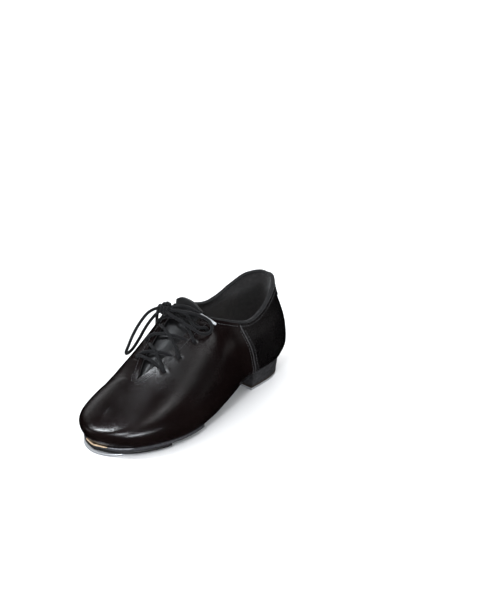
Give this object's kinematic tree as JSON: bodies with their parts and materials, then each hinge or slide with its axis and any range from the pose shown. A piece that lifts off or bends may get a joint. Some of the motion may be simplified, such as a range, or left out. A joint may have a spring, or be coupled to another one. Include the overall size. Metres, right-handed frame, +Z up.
{
  "type": "tap shoe",
  "caption": "Left-foot low lace-up split-sole dance shoe in black leather with a screwed toe tap and a stacked heel with a heel tap.",
  "frame": {"origin": "centre of the shoe's footprint box at the face of the tap plates, which rest on the floor", "axes": "+Z up, -Y towards the toe, +Y towards the heel, +X towards the outer side of a left foot"},
  "size_m": [0.0975, 0.25, 0.1056],
  "materials": {
    "upper_leather": "satin, fine grain",
    "lining_textile": "matt woven textile",
    "stiffener": "matt fibre",
    "outsole_rubber": "matt, diamond texture",
    "tap_board": "black-edged fibre board",
    "heel_tap_board": "tan fibre board",
    "heel_stack": "matt, rough",
    "tap_aluminium": "satin cast, bright edges",
    "screw_steel": "bright",
    "lace_cotton": "matt round braid",
    "aglet_film": "clear film",
    "foam": "matt brushed sock"
  },
  "bodies": {
    "forefoot": {"toe_tap_plate": "tap_aluminium", "toe_tap_board": "tap_board", "toe_tap_screw_1": "screw_steel", "toe_tap_screw_2": "screw_steel", "toe_tap_screw_3": "screw_steel", "forefoot_outsole": "outsole_rubber", "forefoot_insole_board": "stiffener", "vamp": "upper_leather", "toe_puff": "stiffener", "vamp_lining": "lining_textile", "sock_liner": "foam"},
    "rear_shoe": {"heel_tap_plate": "tap_aluminium", "heel_tap_board": "heel_tap_board", "heel_block": "heel_stack", "heel_seat_board": "stiffener", "quarter_lateral": "upper_leather", "quarter_medial": "upper_leather", "heel_counter": "stiffener", "facing_stay_lateral": "lining_textile", "facing_stay_medial": "lining_textile", "quarter_lining": "lining_textile", "topline_binding": "lining_textile", "back_tab": "upper_leather", "heel_pad": "foam", "tongue": "upper_leather", "lace": "lace_cotton", "lace_loop_medial": "lace_cotton", "lace_loop_lateral": "lace_cotton", "lace_end_lateral": "lace_cotton", "lace_end_medial": "lace_cotton", "aglet_lateral": "aglet_film", "aglet_medial": "aglet_film", "heel_tap_screw_1": "screw_steel", "heel_nail_1": "screw_steel", "heel_tap_screw_2": "screw_steel", "heel_nail_2": "screw_steel", "heel_tap_screw_3": "screw_steel", "heel_nail_3": "screw_steel"},
    "tongue_tip": {"tongue_top": "upper_leather"}
  },
  "joints": [
    {"name": "ball_flex", "type": "hinge", "parent": "forefoot", "child": "rear_shoe", "pos_m": [-0.00269, -0.05245, 0.006], "axis": [1, 0, 0], "range_deg": [0, 40], "stiffness_Nm_per_rad": 1.2, "deforming": ["vamp", "vamp_lining", "sock_liner", "forefoot_outsole", "forefoot_insole_board", "facing_stay_lateral", "facing_stay_medial", "tongue", "lace"]},
    {"name": "tongue_fold", "type": "hinge", "parent": "rear_shoe", "child": "tongue_tip", "pos_m": [-0.00969, 0.00405, 0.0865], "axis": [1, 0, 0], "range_deg": [-18, 0], "stiffness_Nm_per_rad": 0.02}
  ]
}
